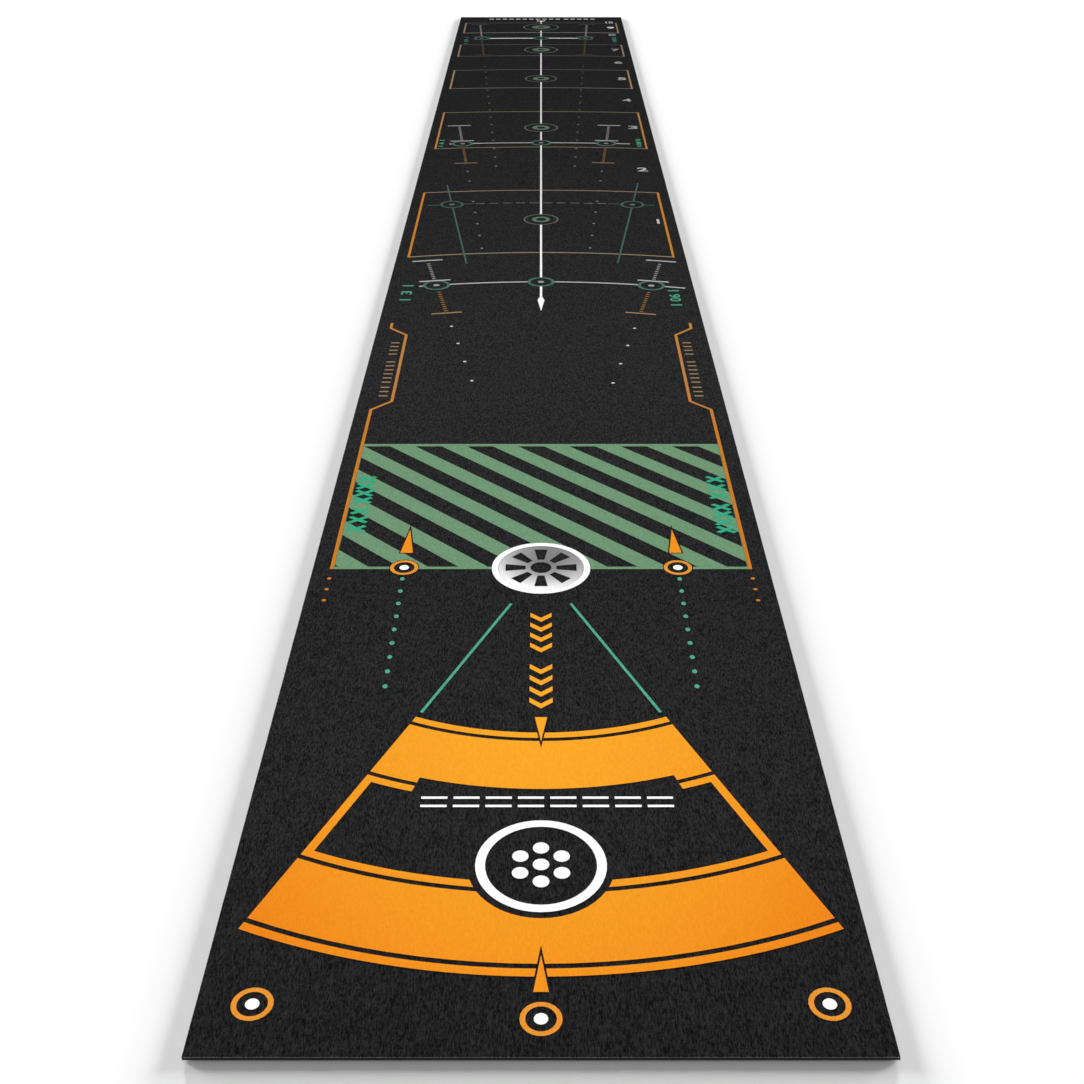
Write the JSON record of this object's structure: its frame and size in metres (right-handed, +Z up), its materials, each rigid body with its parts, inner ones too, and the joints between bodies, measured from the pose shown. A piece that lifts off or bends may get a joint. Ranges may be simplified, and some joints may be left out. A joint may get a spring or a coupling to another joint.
{
  "type": "practice putting mat",
  "caption": "Long flat velour-topped putting mat on a rubber underlay, printed with a hole mark, a scoring fan, a striped ground, side rails and framed distance zones.",
  "frame": {"origin": "middle of the underside, on the surface that the mat lies on", "axes": "+Y up the mat, from the end with the hole mark to the far end; +X to the right when looking up the mat; +Z up, out of the playing face"},
  "size_m": [0.5, 4, 0.0038],
  "materials": {
    "rubber": "black natural rubber, matt, moulded with a fine grip pattern below",
    "bond": "cured latex bond coat",
    "backing": "plain woven synthetic scrim",
    "pile": "short dense charcoal velour pile, brushed along the mat",
    "orange_ink": "orange ink dyed into the pile tips",
    "white_ink": "white ink on the pile tips",
    "grey_ink": "grey ink on the pile tips",
    "teal_ink": "teal ink on the pile tips",
    "green_ink": "soft green ink on the pile tips"
  },
  "bodies": {
    "root": {"rubber_underlay": "rubber", "bond_coat": "bond", "primary_backing": "backing", "pile_face": "pile", "badge_ring": "white_ink", "bullseye_1": "green_ink", "bullseye_2": "green_ink", "bullseye_3": "green_ink", "bullseye_4": "green_ink", "bullseye_5": "green_ink", "centre_line_1": "white_ink", "centre_line_2": "white_ink", "centre_line_3": "white_ink", "centre_line_4": "white_ink", "centre_line_5": "white_ink", "centre_line_6": "white_ink", "centre_line_7": "white_ink", "centre_line_8": "white_ink", "centre_line_9": "white_ink", "end_marker_left": "orange_ink", "end_marker_middle": "orange_ink", "end_marker_right": "orange_ink", "fan_frame_left": "orange_ink", "fan_frame_right": "orange_ink", "fan_inner_band": "orange_ink", "fan_inner_line_left": "orange_ink", "fan_inner_line_right": "orange_ink", "fan_outer_band": "orange_ink", "fan_outer_line_left": "orange_ink", "fan_outer_line_right": "orange_ink", "guide_line_left": "teal_ink", "guide_line_right": "teal_ink", "halo_1": "grey_ink", "halo_2": "grey_ink", "halo_3": "grey_ink", "halo_4": "grey_ink", "halo_5": "grey_ink", "hatch": "green_ink", "hole_marker_left": "orange_ink", "hole_marker_right": "orange_ink", "hole_plate": "grey_ink", "hole_rim": "white_ink", "inner_pointer": "orange_ink", "outer_pointer": "orange_ink", "rail_left": "orange_ink", "rail_right": "orange_ink", "side_pointer_left": "orange_ink", "side_pointer_right": "orange_ink", "zone_1_left": "orange_ink", "zone_1_right": "orange_ink", "zone_2_left": "orange_ink", "zone_2_right": "orange_ink", "zone_3_left": "orange_ink", "zone_3_right": "orange_ink", "zone_4_left": "orange_ink", "zone_4_right": "orange_ink", "zone_5_left": "orange_ink", "zone_5_right": "orange_ink"}
  },
  "joints": []
}
